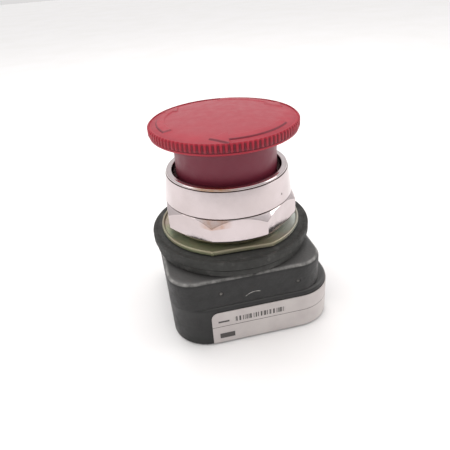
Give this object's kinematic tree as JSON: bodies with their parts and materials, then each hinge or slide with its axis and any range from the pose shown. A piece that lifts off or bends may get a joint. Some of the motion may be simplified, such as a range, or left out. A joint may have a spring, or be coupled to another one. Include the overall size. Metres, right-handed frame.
{
  "type": "emergency stop button",
  "caption": "Red mushroom-head push-button operator with twist release, chromed ring nut, panel gaskets and a black base for contact blocks.",
  "frame": {"origin": "centre of the rear face, on the operator's axis", "axes": "+Z along the operator's axis, out of the panel towards the red head; -Y is the front of the base, which carries the label"},
  "size_m": [0.0491, 0.047, 0.0604],
  "materials": {
    "red_plastic": "moulded, semi-gloss",
    "chrome": "bright plate",
    "yellow_zinc": "yellow chromate zinc plate",
    "black_rubber": "moulded, matt",
    "black_paint": "satin black on die-cast zinc",
    "cover_paint": "satin black on sheet steel",
    "black_plastic": "moulded phenolic, satin",
    "label_foil": "satin printed foil",
    "die_cast_zinc": "tumbled die-cast zinc",
    "steel": "turned",
    "spring_steel": "drawn wire",
    "brass": "turned",
    "white_acetal": "moulded"
  },
  "bodies": {
    "housing": {"base_housing": "black_plastic", "body_seal_ring": "black_rubber", "contact_insert_front": "brass", "contact_insert_rear": "brass", "cover_screw_left": "steel", "cover_screw_right": "steel", "dowel_pin_left": "steel", "dowel_pin_right": "steel", "guide_bush": "brass", "guide_pin_front": "steel", "guide_pin_rear": "steel", "housing_screw_1": "steel", "housing_screw_2": "steel", "housing_screw_3": "steel", "housing_screw_4": "steel", "latch_plug_left": "steel", "latch_plug_right": "steel", "latch_spring_left": "spring_steel", "latch_spring_right": "spring_steel", "mounting_ring": "chrome", "operator_body": "black_paint", "panel_gasket": "black_rubber", "rating_label": "label_foil", "rear_cover": "cover_paint", "return_spring": "spring_steel", "shaft_seal": "black_rubber", "spacer_gasket": "black_rubber", "spring_seat": "steel", "threaded_bushing": "die_cast_zinc", "torsion_spring": "spring_steel", "trim_washer": "yellow_zinc", "twist_stop_ring": "white_acetal"},
    "plunger": {"actuator_plate": "white_acetal"},
    "head": {"mushroom_cap": "red_plastic", "cap_insert": "brass", "plunger_shaft": "steel", "twist_cam": "white_acetal", "cam_cross_pin": "steel", "retaining_clip": "steel"},
    "latch_left": {"latch_pin_left": "steel"},
    "latch_right": {"latch_pin_right": "steel"}
  },
  "joints": [
    {"name": "head_press", "type": "slide", "parent": "housing", "child": "plunger", "axis": [0, 0, -1], "range_m": [0, 0.006], "stiffness_N_per_m": 1500, "springref_m": -0.004, "deforming": ["return_spring"]},
    {"name": "head_twist", "type": "hinge", "parent": "plunger", "child": "head", "pos_m": [0, 0, 0.05], "axis": [0, 0, -1], "range_deg": [0, 30], "stiffness_Nm_per_rad": 0.12, "springref_deg": -14.32},
    {"name": "latch_slide_left", "type": "slide", "parent": "housing", "child": "latch_left", "axis": [1, 0, 0], "range_m": [0, 0.00085]},
    {"name": "latch_slide_right", "type": "slide", "parent": "housing", "child": "latch_right", "axis": [-1, 0, 0], "range_m": [0, 0.00085]}
  ],
  "couplings": [
    {"joint": "latch_slide_left", "follows": "head_press", "ratio": 0.13333},
    {"joint": "latch_slide_right", "follows": "head_press", "ratio": 0.13333}
  ]
}
